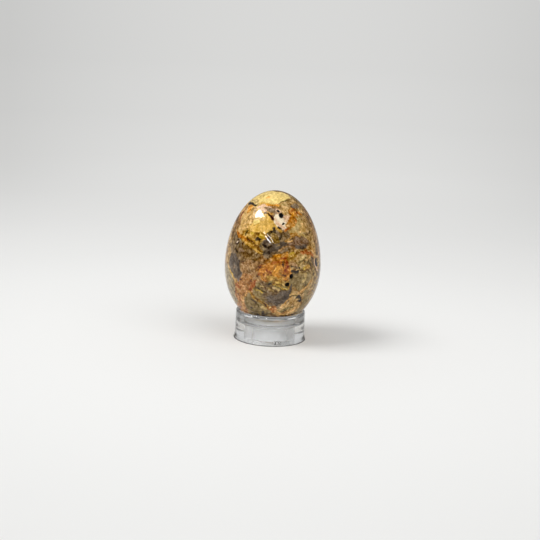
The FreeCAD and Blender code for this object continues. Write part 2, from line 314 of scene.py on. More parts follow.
# What shows in the photograph, as strokes laid one over another. Each has a colour and its points:
# the pixel, and half the stroke's width there in pixels.
STROKES = [
    # Broad zones.
    ("gold_cream", [(262, 212, 9), (262, 224, 10), (255, 226, 9)]),
    ("tan_cream", [(250, 211, 7), (247, 220, 8), (243, 228, 6)]),
    ("cream", [(258, 199.5, 3.5), (266, 197, 6.5), (276, 197.5, 7), (285, 196.5, 4)]),
    ("tan", [(284, 207, 4.5), (288, 212, 5)]),
    ("olive_cream", [(300, 221, 4.5), (303, 228, 7), (297, 232, 5), (292, 231, 3)]),
    ("tan", [(293, 203, 4), (299, 211, 4), (306, 223, 4), (310, 235, 4), (313, 243, 3)]),
    ("pink_tan", [(302, 206, 2.5), (307, 214, 3), (311, 223, 3), (314, 232, 3), (315, 241, 3)]),
    ("olive", [(283, 192, 1.5), (290, 195.5, 2.2), (296, 200.5, 2.4), (301, 206, 1.5)]),
    ("brown", [(247, 250, 6), (250, 257, 7), (256, 254, 5), (245, 261, 5)]),
    ("gold", [(247, 234, 5), (256, 235, 5), (262, 238, 4)]),
    ("warm_grey", [(236, 238, 4), (237, 248, 5), (236, 254, 4)]),
    ("pink_tan", [(248, 267, 7), (252, 274, 9), (250, 281, 7), (262, 262, 4)]),
    ("tan", [(292, 258, 6), (302, 255, 6), (309, 255, 4), (296, 265, 5)]),
    ("olive", [(300, 265, 4), (308, 266, 4.5), (312, 270, 3)]),
    ("orange", [(262, 271, 5), (270, 268, 7), (279, 262, 7), (284, 256, 4), (283, 268, 7), (275, 276, 7)]),
    ("olive_grey", [(299, 279, 6), (304, 277, 6), (301, 286, 6), (306, 284, 4)]),
    ("salmon", [(247, 281, 7), (243, 289, 6.5), (240, 297, 5), (239.5, 303, 3)]),
    ("olive_grey", [(248, 297, 4), (252, 304, 6), (259, 309, 5)]),
    ("olive_grey", [(258, 288, 4), (262, 292, 5), (266, 297, 5)]),
    ("brown", [(264, 287, 3), (270, 289, 4), (277, 292, 3)]),
    ("warm_grey", [(266, 294, 3.5), (270, 299, 5), (276, 301, 4)]),
    ("violet_grey", [(271, 298, 3), (275, 300, 4.5), (281, 297.5, 4), (286, 292.5, 3)]),
    ("tan", [(294, 291, 3), (298, 297, 5), (297, 305, 6), (290, 309, 5)]),
    # Painted reflection: a pale grey sheen along the left limb.
    ("limb_grey", [(228.5, 272, 2.5), (229.5, 281, 2.5), (232, 290, 3), (236, 299, 2.5)]),
    ("olive", [(316.5, 282, 2), (314.5, 291, 2.2), (311, 298, 2.2), (306, 305, 2.2)]),
    # Top.
    ("ochre", [(268, 204.8, 0.9), (274, 206, 1.2), (279, 204.8, 0.9)]),
    ("pink_tan", [(270, 207, 0.9), (277, 207.3, 1.2)]),
    ("olive_dark", [(282, 203, 0.5), (286, 201.7, 0.8), (290, 202.2, 0.7)]),
    ("olive", [(283, 205.5, 0.5), (287, 205.2, 0.6)]),
    ("olive", [(260.5, 198.6, 0.5), (263, 196.2, 0.6)]),
    ("ochre", [(267, 197.6, 1), (269, 197.4, 0.9)]),
    ("olive_cream", [(252, 201, 1.3), (256, 200.5, 2), (257.5, 204, 1.6)]),
    ("charcoal", [(249.5, 203, 1.8), (253, 204.7, 1.3), (255.5, 205.8, 0.9)]),
    ("ochre", [(248.5, 208, 1.6), (251, 207.3, 1.9), (249, 211, 1.8)]),
    ("dark_brown", [(247, 207.4, 0.7)]),
    ("red_brown", [(246, 208.5, 0.6), (243, 212.5, 1.1), (240.5, 217, 1.2), (239.5, 221.5, 0.9)]),
    ("pink_tan", [(238.5, 221, 1.8), (237.5, 226, 2.6)]),
    ("brown", [(235, 229, 1.8), (233.5, 234, 2)]),
    ("pink", [(259, 206.5, 1.6), (265, 206.5, 1.5), (270, 208, 1.2)]),
    ("mauve", [(266, 208.5, 1.4), (270, 210, 2.2), (274, 212, 1.6), (277, 213.4, 0.8)]),
    ("warm_grey", [(271, 209.6, 0.9), (274, 211.5, 0.8)]),
    ("peach", [(265.5, 212.4, 0.6), (270, 213, 0.6), (275, 214.6, 0.6)]),
    # Painted highlight: this pink lightens the halo on the right of the lamp's reflection.
    ("pink", [(262, 209.6, 1.2), (266.5, 210.6, 1.1)]),
    ("pink", [(280, 211.6, 1.7), (281.6, 216, 2.8)]),
    ("pink_white", [(279, 214.6, 1.2), (280.4, 219, 2.8), (283.8, 223.6, 3.2), (285.8, 227.6, 1.4)]),
    ("tan", [(284, 211.5, 1.2), (285.6, 215, 1)]),
    ("pink", [(276, 218.5, 1), (277.5, 223, 1.4), (281, 226.5, 1.2), (284.5, 229.5, 0.8)]),
    ("pink", [(286, 216, 2.2), (287.5, 221, 1.6)]),
    ("dark_brown", [(265, 213.6, 0.35), (269, 214, 0.6), (272.5, 216, 1), (274, 219, 1),
                    (274.8, 222, 0.6)]),
    ("orange", [(292.5, 211, 3.4), (294, 216, 3.8), (291.5, 222, 3.4), (288, 226.5, 1.8)]),
    ("bright_orange", [(293.5, 214, 1.4), (291.5, 217.5, 1)]),
    ("rust", [(290, 212, 0.5), (293, 209.5, 0.5)]),
    ("rust", [(295, 217, 0.9), (295.5, 221, 0.7)]),
    ("rust", [(296.5, 212.6, 0.7), (299.5, 213.6, 0.6)]),
    ("orange", [(298, 211.5, 0.8), (301.5, 214.5, 1)]),
    ("rust", [(288, 229, 0.8), (285, 230.5, 0.7)]),
    ("warm_grey", [(292.5, 206, 1.8), (297.5, 206, 1.6)]),
    ("violet_grey", [(292.8, 206.8, 0.8)]),
    ("brown", [(303.5, 213.5, 0.8), (306.5, 217.5, 0.9), (309.5, 223.5, 0.8)]),
    ("olive", [(296, 217.5, 1.2), (298, 221, 1)]),
    ("charcoal", [(274, 228, 1), (274.3, 232, 1.7), (272, 235, 1.6)]),
    ("olive_dark", [(270.5, 232, 0.9), (268.5, 234, 0.8)]),
    ("gold", [(277, 229, 1.2), (280, 231, 1.2)]),
    ("dark_brown", [(276.8, 225.8, 0.5), (278.6, 227.6, 0.8), (281, 229.2, 0.5)]),
    ("cream", [(254.5, 222, 1.6), (258.5, 220.5, 1.8)]),
    ("tan_cream", [(302, 224.5, 2.2), (304.5, 228.5, 2.6), (300.5, 230.5, 1.8)]),
    ("peach", [(291, 235, 1.4), (297, 234.2, 1.6)]),
    ("peach", [(287.4, 225.4, 1.2)]),
    # Middle, left.
    ("olive_dark", [(247.5, 232, 1.1), (246, 234.5, 1)]),
    ("tan_cream", [(243.5, 229, 1.4)]),
    ("yellow", [(250.5, 233.6, 1.4), (253, 232.5, 1)]),
    ("dark_gold", [(257, 232.5, 0.7), (259, 234.5, 1.1)]),
    ("gold_cream", [(254, 229.5, 1.4), (259, 230, 1.4)]),
    ("charcoal", [(256.5, 239.5, 1.4), (260, 239.5, 1.6), (262.5, 238.8, 0.8)]),
    ("yellow", [(261, 235.5, 1.6), (264.5, 238, 1.2)]),
    ("orange", [(237.5, 231.5, 1.2), (240, 236, 1.4), (244, 238.6, 1.4), (248, 241.5, 1.4)]),
    ("rust", [(238.7, 232.8, 0.7)]),
    ("gold", [(242, 239.5, 0.8), (249, 243.8, 1.3), (256, 248.8, 1.2), (260.8, 254.4, 0.8)]),
    ("gold", [(248, 236, 0.8), (254, 239.5, 0.8), (259, 244, 0.7), (263, 249, 0.6)]),
    ("dark_gold", [(247.5, 238, 0.8), (253, 242.6, 1.3), (258.5, 247.5, 1.6), (262, 251.5, 1.3)]),
    ("olive", [(261.3, 254.8, 0.6), (264.4, 250.2, 0.7), (262.8, 246, 0.6), (262.4, 242, 0.6)]),
    ("violet_grey", [(264.6, 244.4, 1.8), (268.4, 244.2, 2.4), (266.4, 247.2, 1.9)]),
    ("warm_grey", [(269.5, 246, 1.2)]),
    ("charcoal", [(264, 245, 0.7), (267, 248.6, 0.7), (271, 246.5, 0.6)]),
    ("olive", [(273.5, 237, 2.6), (276.5, 240, 2)]),
    ("dark_brown", [(271.6, 236, 0.8), (270, 238.5, 0.7)]),
    # Middle, the violet band.
    ("warm_grey", [(280, 235.5, 2.6), (285.5, 233.8, 2.4), (283, 238.5, 2.4)]),
    ("charcoal", [(279.6, 239, 0.9), (280.5, 235.5, 0.8)]),
    ("warm_grey", [(272, 253, 2.2), (279, 250.5, 2.4), (287, 248.5, 2.2)]),
    ("violet_grey", [(265, 254.5, 1.6), (271, 251, 2.2), (278, 246.5, 2.4),
                     (285, 243.5, 2.6), (293, 242.5, 3.4)]),
    ("violet_brown", [(288, 244, 2), (293, 243, 3.2), (299, 241, 4.4), (303, 243, 3.6), (307.5, 243, 1.8)]),
    ("deep_violet", [(263.5, 255.6, 1), (271, 251.2, 1.5), (278, 246.8, 1.5), (285, 243.4, 1.2)]),
    ("tan", [(274, 247.6, 0.3), (280, 243.8, 0.3), (288, 240.4, 0.4)]),
    ("pink_tan", [(279, 249.8, 0.4), (285, 247.4, 0.5), (290, 246.8, 0.5), (296, 248.8, 0.6)]),
    ("mauve", [(297, 237.6, 1.8), (302, 237.6, 1.6)]),
    ("violet_grey", [(296.5, 246.5, 1.4), (302, 247.5, 1.6), (306, 245.5, 1.2)]),
    ("deep_violet", [(266, 253.8, 1), (271, 252.6, 1)]),
    ("deep_violet", [(280, 243.8, 1.2), (284.5, 242.6, 1.2)]),
    ("peach", [(285, 240.4, 0.5), (290, 238.3, 0.5), (296, 235.6, 0.5), (301, 235.3, 0.5)]),
    ("peach", [(287, 242.2, 0.4), (291.5, 241.3, 0.5)]),
    ("brown", [(304, 233.3, 0.6), (307.5, 234, 0.9), (310, 232.5, 0.6)]),
    ("tan", [(307.5, 247.6, 1.3), (310, 246.4, 1.2)]),
    # Left side.
    ("tan", [(231, 238, 2.2), (229, 247, 2.4), (227.5, 256, 1.8)]),
    ("violet_grey", [(234.5, 256, 3), (234.5, 264, 4.6), (237.5, 271, 3.6)]),
    ("deep_violet", [(232.5, 257.5, 0.8), (236, 263.5, 1)]),
    ("mauve", [(235, 267, 0.7)]),
    ("mauve", [(239.5, 248.5, 0.8), (241.6, 250.2, 1.5), (245.5, 253, 0.6)]),
    ("limb_grey", [(237.3, 242.3, 3.4)]),
    ("black_red", [(237.3, 242.3, 2.1)]),
    ("pink_white", [(237.3, 242.3, 1.2)]),
    ("charcoal", [(235, 248.5, 0.5), (238, 251.5, 0.5)]),
    ("deep_violet", [(238.6, 261, 1.2), (239.6, 270, 1.4), (239.2, 279, 0.9)]),
    ("tan", [(226, 256, 0.9), (227.7, 265, 1.1), (231.5, 273, 1.1), (235.8, 281, 1.1), (238, 290, 0.9)]),
    ("yellow", [(230.5, 271, 0.5), (233.6, 277, 0.5)]),
    ("violet_grey", [(241.5, 273, 1), (240, 277, 1.4), (238.5, 281, 0.9)]),
    # Middle, right.
    ("red_brown", [(258.5, 274.5, 0.7), (263, 270, 0.8), (268, 267.5, 0.9),
                   (274, 263.5, 1), (281, 261.5, 0.7)]),
    ("rust", [(283, 257.5, 0.8), (286.5, 259, 1.2), (287.5, 266.5, 1.5), (286, 270.5, 1)]),
    ("gold", [(269, 277.5, 1.8), (275, 279, 2), (281, 277.5, 1.6)]),
    ("dark_gold", [(283.4, 261.6, 0.8), (284.2, 266, 0.7)]),
    ("dark_gold", [(280, 272.6, 0.5), (284.4, 274.8, 0.6)]),
    ("rust", [(286, 267.5, 1.2), (287.4, 271.5, 1.2)]),
    ("orange", [(260.5, 271, 1.6), (265, 269.5, 1.8), (270.5, 267.6, 2)]),
    ("rust", [(267, 270.4, 0.7), (271, 272.6, 0.6)]),
    ("rust", [(276, 259.4, 0.5), (282, 258.2, 0.6)]),
    ("bright_orange", [(276.5, 255.8, 1.4), (280.5, 254.6, 1.2)]),
    ("bright_orange", [(279, 268, 1.6), (273.5, 273, 1.4), (278.5, 276, 1.3)]),
    ("warm_grey", [(266.5, 257.5, 1.4), (271.5, 257, 1.4)]),
    ("charcoal", [(268, 259.8, 0.8)]),
    ("pink", [(265, 263.8, 0.8), (271.5, 261, 0.8)]),
    ("yellow", [(290.5, 255.3, 1.3), (294, 254, 1)]),
    ("red_brown", [(301, 252.2, 0.7), (304, 251.8, 1.3), (307, 249.8, 0.8)]),
    ("red_brown", [(306.5, 252.8, 0.7), (310.5, 254.2, 0.8), (313, 256.8, 1.1)]),
    ("peach", [(309.5, 248, 1.8), (313, 251.5, 1.6), (315, 255, 0.8)]),
    ("peach", [(303.5, 262.2, 0.4), (307.5, 259.8, 0.6), (310.5, 256.8, 0.5)]),
    ("warm_grey", [(312, 259.5, 1.8), (314, 263.5, 1.7)]),
    ("brown", [(316, 246, 1.4), (317, 254, 1.4)]),
    ("pink", [(314.8, 258.5, 0.6), (315, 264.5, 0.6), (317.6, 268.8, 0.8)]),
    ("violet_grey", [(316.8, 251.8, 1)]),
    ("black_red", [(316.4, 259, 0.9), (316.2, 262, 2), (317, 265.2, 0.9)]),
    ("pink_tan", [(292, 263, 1.6), (296, 266.5, 1.4)]),
    ("gold", [(290, 258.5, 2.2), (295.5, 256, 2)]),
    ("olive_cream", [(303.5, 256, 1.4), (300.5, 259.5, 1)]),
    ("olive_dark", [(298.5, 262.4, 0.4), (303.6, 260, 0.4), (306.4, 256.6, 0.4)]),
    ("gold", [(306, 268.4, 1.6), (310, 266.8, 1.2)]),
    ("olive", [(300, 271.6, 1.8), (304.5, 272.6, 1.8)]),
    ("charcoal", [(292.5, 266.4, 0.5), (297, 268.2, 0.6)]),
    ("charcoal", [(299.3, 268.4, 0.9)]),
    ("yellow", [(304.4, 268.8, 1.2)]),
    ("olive_dark", [(305.5, 262, 0.9), (309, 263, 0.8), (311, 266, 0.7)]),
    ("charcoal", [(292.5, 271.2, 1.5), (296.5, 271.8, 1.3)]),
    ("olive_cream", [(306, 274.5, 1.6), (303.5, 280, 1.6)]),
    ("olive_dark", [(303.5, 278, 0.8)]),
    ("olive_dark", [(306.5, 282, 1.2), (307.5, 286.5, 1.3)]),
    ("olive", [(304.5, 287, 1.4)]),
    ("olive_dark", [(313.5, 270, 0.8), (313, 275, 0.6)]),
    ("tan", [(312.5, 279, 1), (311, 284, 1.2), (308.5, 288, 1)]),
    ("dark_brown", [(319.3, 272, 0.8), (318.3, 277.5, 0.9), (317, 281.5, 0.6)]),
    # Bottom.
    ("red_brown", [(255.8, 280.6, 0.6), (253, 284.5, 1.3), (249.5, 289.5, 1.3), (246.5, 294, 0.5)]),
    ("rust", [(255.6, 281.4, 0.3), (252.6, 285.6, 0.5), (249, 290.4, 0.4)]),
    ("red_brown", [(236.5, 284.5, 1.2), (238.5, 288, 0.8)]),
    ("peach", [(247.5, 291.5, 0.6), (244, 297, 0.8), (241.5, 303, 0.8)]),
    ("olive_dark", [(267.5, 283.2, 1.6), (272, 282, 1.4)]),
    ("gold", [(275, 281, 2.2), (280, 283.5, 2.6), (284.5, 288, 2), (287, 290.5, 1.2)]),
    ("yellow", [(274, 283.5, 0.5), (278, 286.5, 0.6), (282, 290.5, 0.5)]),
    ("yellow", [(277, 281.5, 0.6), (281.5, 285.5, 0.7), (286, 290, 0.6)]),
    ("olive_cream", [(272.5, 286.5, 0.8), (276, 288, 0.8), (279, 291.5, 0.8)]),
    ("olive_dark", [(274.5, 285, 0.4), (278, 287.5, 0.5), (281, 290, 0.4), (285, 291.5, 0.4)]),
    ("olive_dark", [(279.5, 284, 0.4), (283, 286.5, 0.4), (286, 288.2, 0.4)]),
    ("olive_dark", [(271.5, 289, 0.4), (275, 292, 0.5)]),
    ("deep_violet", [(290.3, 285, 1), (290.3, 290, 1.1), (287.5, 296, 1.5),
                     (282.5, 301, 1.5), (276.5, 304.3, 1.3)]),
    ("limb_grey", [(277.5, 297, 0.9), (279, 299, 0.7)]),
    ("gold", [(248.5, 291.5, 0.8), (252.5, 295.5, 1.4), (258, 299.8, 1.4),
              (264, 304.5, 1.5), (268.5, 308.5, 1.4)]),
    ("olive_dark", [(252, 299, 0.5), (256, 302.5, 0.6), (259, 307, 0.5)]),
    ("dark_brown", [(256.5, 298.5, 0.4), (261, 302, 0.5), (266, 306.5, 0.5)]),
    ("olive_cream", [(262, 307.5, 1), (266, 309.5, 0.9)]),
    ("dark_brown", [(251.6, 308, 1.1)]),
    ("olive_dark", [(249, 308.6, 1), (255, 311, 1.4), (262, 313, 1.6), (268, 314, 1)]),
    ("charcoal", [(252.5, 312.6, 1.2), (258, 314.3, 0.8)]),
    ("deep_violet", [(262.5, 311.5, 1.3), (263, 314.8, 1.5), (266.5, 313.5, 1)]),
    ("brown", [(270, 314.6, 1.4), (276, 315.6, 1)]),
    ("salmon", [(274.5, 307.5, 1.8), (272.8, 311.5, 2), (276.5, 309, 1.6)]),
    ("rust", [(269.5, 308.6, 2), (271.5, 310.2, 0.8)]),
    ("cream", [(269.6, 308.3, 0.9)]),
    ("peach", [(277.5, 309, 0.9), (282, 305.6, 0.9), (287, 301, 0.9), (291.5, 297.8, 0.9)]),
    ("peach", [(276, 311.6, 0.9), (281.5, 313, 0.9), (286.5, 312.8, 1.3),
               (292.5, 310, 1.4), (296.5, 306.5, 1)]),
    ("olive_dark", [(279.5, 310.6, 0.6), (284, 309.8, 1.5), (288, 308, 1.2), (292, 306.6, 0.8)]),
    # Painted shade: part of the dark line where the egg meets the ring's rim.
    ("dark_brown", [(281.5, 314.4, 0.5), (286, 315.4, 0.6), (292, 314.4, 0.5)]),
    ("tan_cream", [(290.5, 295.2, 0.7), (294, 295.2, 0.6)]),
    ("olive_dark", [(291, 296.8, 0.2), (295, 296.4, 0.2), (298.5, 295.6, 0.2)]),
    ("peach", [(299, 292.5, 1), (303.5, 290, 1.2), (307.5, 286, 0.8), (311, 280, 0.7)]),
    ("charcoal", [(297, 297.5, 0.8), (299.6, 296.2, 1.3), (300.8, 299.5, 1.5), (298, 300.8, 0.9)]),
    ("olive_grey", [(299.3, 298.6, 0.7)]),
    ("olive", [(257, 283, 0.5), (262, 286.5, 0.6), (268, 287.5, 0.6), (273, 290.5, 0.6)]),
    ("violet_grey", [(267, 297, 1.4), (271, 300, 3.4), (278, 299, 3.8), (284, 295, 2.6), (288, 290.5, 1)]),
    ("mauve", [(275, 297.5, 0.4), (278.5, 299.4, 0.3)]),
    ("yellow", [(252, 288.5, 0.4), (257, 290, 0.4), (262, 292.5, 0.4)]),
    ("olive_dark", [(255, 286.5, 0.6), (260, 289.5, 0.6), (265, 291.5, 0.6)]),
    ("olive_grey", [(305.5, 298, 2.2), (302.5, 304, 2.2), (299.5, 309, 1.6)]),
    ("pink_tan", [(311.5, 288, 1.4), (308.5, 294, 1.4)]),
    ("olive_dark", [(236, 303, 0.5), (240, 307.5, 0.6)]),
    ("peach", [(241.5, 305, 1.2), (244.5, 308, 1.6), (247.2, 308.8, 1.2)]),
    # Painted shade: a dark line along the egg's lowest visible edge, where it meets the ring's rim.
    ("dark_brown", [(244, 310.6, 0.5), (248.5, 313, 0.6), (256, 315.6, 0.5)]),
    ("deep_violet", [(249, 313.4, 0.6), (257, 315.4, 0.9), (266, 316.2, 0.9), (274, 316.4, 0.7)]),
    ("dark_brown", [(272, 316.4, 0.4), (281, 316.2, 0.6), (290, 314.8, 0.5), (296, 312.2, 0.3)]),
]

# Natural pits: the pixel of the mouth, its half sizes across and along in millimetres, its depth,
# and its lean in degrees.
PITS = [
    ((281.2, 215.3), 1.11, 1.20, 1.54, 0.0),
    ((278.0, 211.0), 0.90, 0.43, 0.60, -20.0),
    ((283.4, 223.8), 0.64, 0.43, 0.60, 40.0),
    ((279.2, 227.8), 0.85, 0.38, 0.43, -40.0),
    ((291.5, 276.5), 0.77, 1.07, 1.45, -12.0),
    ((287.2, 284.8), 1.15, 0.90, 1.45, 20.0),
]

# The fine layers along each stroke: their length and thickness in millimetres, and their strength.
LAYERS = [(2.6, 0.8, 0.05), (1.3, 0.36, 0.06), (0.7, 0.2, 0.04)]
STREAKS = 900

# Colours that show through the broad strokes in patches: the patch size in millimetres and the share.
MINGLED = [("olive", 1.9, 0.2), ("warm_grey", 1.3, 0.28), ("tan_cream", 1.0, 0.25), ("dark_brown", 0.8, 0.28)]

# The noise's lattice gets its values by mixing whole numbers with these.
SEED_SHIFT = 17.31
CELL_PRIMES = (73856093, 19349663, 83492791)
SEED_PRIME = 668265263
MIX_ROUNDS = ((13, 1274126177), (15, 2246822519))

PX_PER_MM = 2.2495
POLISH = 0.013  # the light that the polished surface mirrors, which no colour of the stone holds


def shown(colour):
    """A colour of the stone as it is displayed, from 0 to 1, with its lace amount as it is."""
    return np.append(np.array(colour[:3]) / 255.0, colour[3])


def linear(part):
    """Displayed values as linear light."""
    part = np.clip(part, 0.0, 1.0)
    return np.where(part <= 0.04045, part / 12.92, ((part + 0.055) / 1.055) ** 2.4)


def noise(points, size, seed):
    """Smooth noise from -1 to 1 with lumps of this size, at each point."""
    cell = points / size + seed * SEED_SHIFT
    base = np.floor(cell).astype(np.int64)
    part = cell - base
    part = part * part * part * (part * (part * 6 - 15) + 10)
    total = np.zeros(len(points))
    for corner in range(8):
        step = np.array([corner & 1, corner >> 1 & 1, corner >> 2 & 1])
        at = base + step
        mixed = at[:, 0] * CELL_PRIMES[0] ^ at[:, 1] * CELL_PRIMES[1] ^ at[:, 2] * CELL_PRIMES[2]
        mixed = mixed ^ seed * SEED_PRIME
        for fold, prime in MIX_ROUNDS:
            mixed = ((mixed ^ mixed >> fold) * prime) & 0xFFFFFFFF
        value = ((mixed ^ mixed >> 16) & 0xFFFF) / 32767.5 - 1.0
        weight = np.prod(np.where(step == 1, part, 1.0 - part), axis=1)
        total += value * weight
    return total


def warp(points, size, reach, seed):
    """The points moved by smooth noise."""
    moves = [noise(points, size, seed + k) for k in range(3)]
    return points + reach * np.stack(moves, axis=1)


def stroke_frame(points, path):
    """For each point, in millimetres: how far inside the stroke it is, how far along and aside.

    The path is a list of (place, half width)."""
    if len(path) == 1:
        path = [path[0], (path[0][0] + [0.2, 0.0, 0.05], path[0][1])]
    best = np.full(len(points), -99.0)
    along, aside = np.zeros(len(points)), np.zeros(len(points))
    start = 0.0
    for (a, wide_a), (b, wide_b) in zip(path, path[1:]):
        run = b - a
        length = np.linalg.norm(run)
        way = run / length
        side = np.cross(way, outward(a[None])[0])
        offset = points - a
        reach = offset @ way
        share = np.clip(reach / length, 0.0, 1.0)
        away = np.linalg.norm(offset - share[:, None] * run, axis=1)
        depth = wide_a + share * (wide_b - wide_a) - away
        better = depth > best
        best = np.where(better, depth, best)
        along = np.where(better, start + reach, along)
        aside = np.where(better, offset @ side, aside)
        start += length
    return best, along, aside


def mingle(tint, points, seed):
    """Lets patches of the stone's other colours through, more where there is more lace."""
    for k, (name, size, share) in enumerate(MINGLED):
        patch = smooth(noise(points, size, seed % 7 + 10 * k + 91), 0.1, 0.5) * tint[:, 3] * share
        tint[:, :3] += (shown(STONE[name])[:3] - tint[:, :3]) * patch[:, None]


def layered(colour, along, aside, seed):
    """The colour at each point with fine layers that run along the stroke."""
    tint = np.tile(shown(colour), (len(along), 1))
    total = np.zeros(len(along))
    for long, thin, share in LAYERS:
        flat = np.stack([along / long, aside / thin, np.full(len(along), 0.37)], axis=1)
        total += share * np.tanh(2.2 * noise(flat, 1.0, seed))
    tint[:, :3] += (total * (0.3 + 0.7 * colour[3]))[:, None]
    return tint


def smooth(value, low, high):
    part = np.clip((value - low) / (high - low), 0.0, 1.0)
    return part * part * (3 - 2 * part)


class Canvas:
    """The stone's surface points, with a colour and a lace amount painted on each."""

    def __init__(self, points, colour):
        self.points = points
        self.colours = np.tile(shown(colour), (len(points), 1))
        self.order = np.argsort(points[:, 2])
        self.heights = points[self.order, 2]

    def near(self, path, margin):
        """The indices of the points near a stroke."""
        middle = np.mean([place for place, wide in path], axis=0)
        reach = max(np.linalg.norm(place - middle) + wide for place, wide in path) + margin
        low, high = np.searchsorted(self.heights, [middle[2] - reach, middle[2] + reach])
        some = self.order[low:high]
        return some[np.linalg.norm(self.points[some] - middle, axis=1) < reach]

    def lay(self, warped, path, colour, seed, soft=0.3, rim=0.0):
        """Lays one stroke over the colours, in layers along its length, and darkens its rim."""
        near = self.near(path, 2.5)
        depth, along, aside = stroke_frame(warped[near], path)
        tint = layered(colour, along, aside, seed)
        if rim:
            depth = depth + 0.3 * noise(self.points[near], 0.7, 64)
            mingle(tint, self.points[near], seed)
            some = smooth(noise(self.points[near], 3.0, 61), -0.2, 0.3)
            tint[:, :3] -= (rim * some * smooth(depth, -0.1, 0.1) * smooth(depth, 0.45, 0.15))[:, None]
        cover = smooth(depth, -soft, soft)[:, None]
        self.colours[near] = self.colours[near] * (1.0 - cover) + tint * cover

    def streak(self, path, tint, share):
        """Darkens or lightens what is under a short stroke, more where there is more lace."""
        near = self.near(path, 0.5)
        cover = smooth(stroke_frame(self.points[near], path)[0], -0.15, 0.15) * self.colours[near, 3] * share
        self.colours[near, :3] += (tint * cover)[:, None]


def egg_point(direction):
    """The egg's surface point, in millimetres, for a direction on the unit sphere."""
    half = EGG_UP if direction[2] >= 0 else EGG_DOWN
    return direction * np.array([EGG_RADIUS, EGG_RADIUS, half]) + [0.0, 0.0, EGG_MIDDLE]


def wander(rng, steps, step, sway):
    """A random walk over the egg: a list of surface points, in millimetres."""
    way = rng.normal(size=3)
    way /= np.linalg.norm(way)
    drift = np.cross(way, [0.35, 0.2, 1.0]) + sway * rng.normal(size=3)
    places = []
    for _ in range(steps):
        places.append(egg_point(way))
        drift = drift + 0.8 * sway * rng.normal(size=3)
        drift -= way * (drift @ way)
        drift /= np.linalg.norm(drift)
        way = way + drift * step / 24.0
        way /= np.linalg.norm(way)
    return places


def unseen_strokes(rng):
    """Strokes in the same colours for the whole stone. The photographed ones are laid over them."""
    broad = ["tan_cream", "gold_cream", "brown", "orange", "olive_grey", "pink_tan", "salmon", "tan"]
    broad += ["violet_grey", "warm_grey", "olive", "olive_cream", "gold", "mauve"]
    fine = ["dark_brown", "rust", "peach", "yellow", "olive_dark", "red_brown", "charcoal", "cream"]
    fine += ["deep_violet", "pink", "dark_gold", "bright_orange", "tan"]
    for count, names, thin, thick, step in (
        (110, broad, 1.8, 4.2, 3.2),
        (130, broad, 0.7, 1.8, 2.4),
        (260, fine, 0.18, 0.55, 1.7),
    ):
        for _ in range(count):
            places = wander(rng, rng.integers(2, 6), step, 0.55)
            path = [(place, rng.uniform(thin, thick)) for place in places]
            yield STONE[names[rng.integers(len(names))]], path


def stone_colours(points):
    """The stone's colour at each point, in linear light, and its lace amount, with a few strokes of painted
    shade, highlight and reflection.
    """
    warped = warp(points, 4.2, 0.5, 11)
    warped = warp(warped, 1.7, 0.38, 21)
    warped = warp(warped, 0.8, 0.2, 26)
    canvas = Canvas(points, STONE["tan"])
    rng = np.random.default_rng(764)
    wild = warp(warped, 6.0, 1.6, 41)
    for seed, (colour, path) in enumerate(unseen_strokes(rng)):
        canvas.lay(wild, path, colour, seed, rim=0.12)

    # On the photographed side each place first takes the colour of its nearest broad stroke.
    strokes = []
    for name, pixels in STROKES:
        broad = max(wide for x, y, wide in pixels) > 2.0
        spare = 0.2 if broad else 0.38
        path = [(cast(x, y), (1.05 * wide + spare) / PX_PER_MM) for x, y, wide in pixels]
        strokes.append((STONE[name], path, broad))
    facing = -(outward(points) @ FORWARD)
    seen = np.nonzero(facing > 0.02)[0]
    bent = warp(warped[seen], 2.4, 0.6, 71)
    best, nearest = np.full(len(seen), -99.0), np.zeros((len(seen), 4))
    for seed, (colour, path, broad) in enumerate(strokes):
        if broad:
            depth, along, aside = stroke_frame(bent, path)
            depth = np.minimum(depth, 0.0)
            better = depth >= best
            best = np.where(better, depth, best)
            tint = layered(colour, along[better], aside[better], seed)
            mingle(tint, points[seen[better]], seed)
            nearest[better] = tint
    wash = smooth(facing[seen], 0.04, 0.22)[:, None]
    canvas.colours[seen] = canvas.colours[seen] * (1.0 - wash) + nearest * wash
    for seed, (colour, path, broad) in enumerate(strokes):
        canvas.lay(warped, path, colour, seed, 0.4 if broad else 0.2, 0.1 if broad else 0.0)

    for _ in range(STREAKS):
        path = [(place, rng.uniform(0.12, 0.3)) for place in wander(rng, rng.integers(2, 5), 0.8, 0.8)]
        canvas.streak(path, -0.2 if rng.random() < 0.6 else 0.14, rng.uniform(0.4, 1.0))
    colours = canvas.colours
    shift = 0.06 * noise(points, 2.3, 81) + 0.05 * noise(points, 1.1, 82)
    colours[:, :3] += (shift * colours[:, 3])[:, None]
    colours[:, 2] *= 0.96
    # The polish adds the room's light back.
    colours[:, :3] = np.maximum(linear(colours[:, :3]) - POLISH, 0.003)
    return colours


def outward(points):
    """The unit normal of the smooth egg at each point, in millimetres."""
    half = np.where(points[:, 2] >= EGG_MIDDLE, EGG_UP, EGG_DOWN)
    way = np.stack(
        [points[:, 0] / EGG_RADIUS**2, points[:, 1] / EGG_RADIUS**2, (points[:, 2] - EGG_MIDDLE) / half**2],
        axis=1,
    )
    return way / np.linalg.norm(way, axis=1)[:, None]


